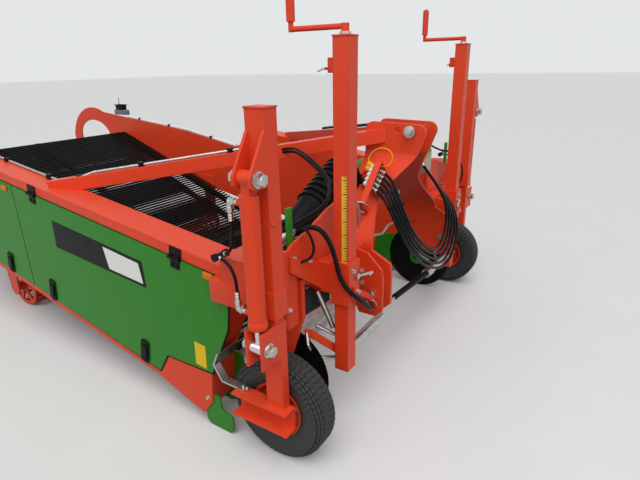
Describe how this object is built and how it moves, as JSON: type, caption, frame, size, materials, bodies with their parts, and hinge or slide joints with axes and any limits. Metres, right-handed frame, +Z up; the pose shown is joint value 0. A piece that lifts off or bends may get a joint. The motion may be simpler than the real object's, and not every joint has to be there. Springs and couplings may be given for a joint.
{
  "type": "onion harvester",
  "caption": "Tractor-carried onion harvester: sloping rod web between side plates, hinged green side doors, depth wheels on lift posts, crank posts and a three-point headstock.",
  "frame": {"origin": "on the ground, below the middle of the machine's box", "axes": "+X is the travel direction, towards the tractor; +Y is the machine's left; +Z is up"},
  "size_m": [4.1916, 2.188, 1.64],
  "materials": {
    "orange_red_paint": "gloss",
    "green_paint": "gloss",
    "black_paint": "satin",
    "zinc_steel": "satin",
    "bar_steel": "satin",
    "black_rubber": "matte",
    "tyre_rubber": "matte",
    "black_plastic": "matte"
  },
  "bodies": {
    "frame": {"braces": "orange_red_paint", "cage_arms": "orange_red_paint", "cheeks": "green_paint", "cover_frames": "orange_red_paint", "cylinder_barrels": "orange_red_paint", "depth_posts": "orange_red_paint", "disc_arms": "orange_red_paint", "door_hinges": "black_plastic", "drive_guard": "black_plastic", "gearbox": "green_paint", "headstock": "orange_red_paint", "hose_1": "black_rubber", "hose_2": "black_rubber", "hose_3": "black_rubber", "hose_4": "black_rubber", "hose_5": "black_rubber", "hose_couplers": "zinc_steel", "hose_fittings": "zinc_steel", "left_lower_hose": "black_rubber", "left_upper_hose": "black_rubber", "link_plates": "orange_red_paint", "linkage_pins": "zinc_steel", "main_beam": "orange_red_paint", "pto_stub": "zinc_steel", "right_lower_hose": "black_rubber", "right_upper_hose": "black_rubber", "sensor_box": "black_plastic", "side_plates": "orange_red_paint", "side_shaft": "zinc_steel", "valve_block": "green_paint", "web_bars": "bar_steel", "web_belts": "black_rubber", "web_rollers": "zinc_steel"},
    "right_leg": {"right_leg": "orange_red_paint", "right_cylinder_rod": "zinc_steel", "right_scraper": "zinc_steel"},
    "right_wheel": {"right_rim": "orange_red_paint", "right_tyre": "tyre_rubber"},
    "right_crank_post": {"right_crank_post": "orange_red_paint", "right_crank": "orange_red_paint", "right_finder": "zinc_steel"},
    "right_disc": {"right_disc": "black_paint", "right_disc_hub": "green_paint"},
    "left_leg": {"left_leg": "orange_red_paint", "left_cylinder_rod": "zinc_steel", "left_scraper": "zinc_steel"},
    "left_wheel": {"left_rim": "orange_red_paint", "left_tyre": "tyre_rubber"},
    "left_crank_post": {"left_crank_post": "orange_red_paint", "left_crank": "orange_red_paint", "left_finder": "zinc_steel"},
    "left_disc": {"left_disc": "black_paint", "left_disc_hub": "green_paint"},
    "right_front_door": {"right_front_door": "green_paint"},
    "right_rear_door": {"right_rear_door": "green_paint"},
    "left_door": {"left_door": "green_paint"},
    "lifting_shaft": {"lifting_shaft": "zinc_steel"},
    "cage_roller": {"cage_roller": "orange_red_paint"}
  },
  "joints": [
    {"name": "right_leg_slide", "type": "slide", "parent": "frame", "child": "right_leg", "axis": [0, 0, 1], "range_m": [-0.22, 0]},
    {"name": "right_wheel_spin", "type": "hinge", "parent": "right_leg", "child": "right_wheel", "pos_m": [1.89425, -0.9, 0.2015], "axis": [0, 1, 0], "continuous": true},
    {"name": "right_crank_post_slide", "type": "slide", "parent": "frame", "child": "right_crank_post", "axis": [0, 0, 1], "range_m": [-0.14, 0.06]},
    {"name": "right_disc_spin", "type": "hinge", "parent": "frame", "child": "right_disc", "pos_m": [1.77425, -0.712, 0.203], "axis": [0, 1, 0], "continuous": true},
    {"name": "left_leg_slide", "type": "slide", "parent": "frame", "child": "left_leg", "axis": [0, 0, 1], "range_m": [-0.22, 0]},
    {"name": "left_wheel_spin", "type": "hinge", "parent": "left_leg", "child": "left_wheel", "pos_m": [1.89425, 0.9, 0.2015], "axis": [0, 1, 0], "continuous": true},
    {"name": "left_crank_post_slide", "type": "slide", "parent": "frame", "child": "left_crank_post", "axis": [0, 0, 1], "range_m": [-0.14, 0.06]},
    {"name": "left_disc_spin", "type": "hinge", "parent": "frame", "child": "left_disc", "pos_m": [1.77425, 0.712, 0.203], "axis": [0, 1, 0], "continuous": true},
    {"name": "lifting_shaft_spin", "type": "hinge", "parent": "frame", "child": "lifting_shaft", "pos_m": [1.52225, 0, 0.084], "axis": [0, 1, 0], "continuous": true},
    {"name": "cage_roller_spin", "type": "hinge", "parent": "frame", "child": "cage_roller", "pos_m": [-0.19575, 0, 0.13], "axis": [0, 1, 0], "continuous": true},
    {"name": "right_front_door_hinge", "type": "hinge", "parent": "frame", "child": "right_front_door", "pos_m": [1.09425, -0.979, 0.7719], "axis": [-0.9917, 0, 0.1288], "range_deg": [0, 100]},
    {"name": "right_rear_door_hinge", "type": "hinge", "parent": "frame", "child": "right_rear_door", "pos_m": [1.09425, -0.979, 0.7719], "axis": [-0.9917, 0, 0.1288], "range_deg": [0, 100]},
    {"name": "left_door_hinge", "type": "hinge", "parent": "frame", "child": "left_door", "pos_m": [1.09425, 0.979, 0.7719], "axis": [0.9917, 0, -0.1288], "range_deg": [0, 100]}
  ]
}
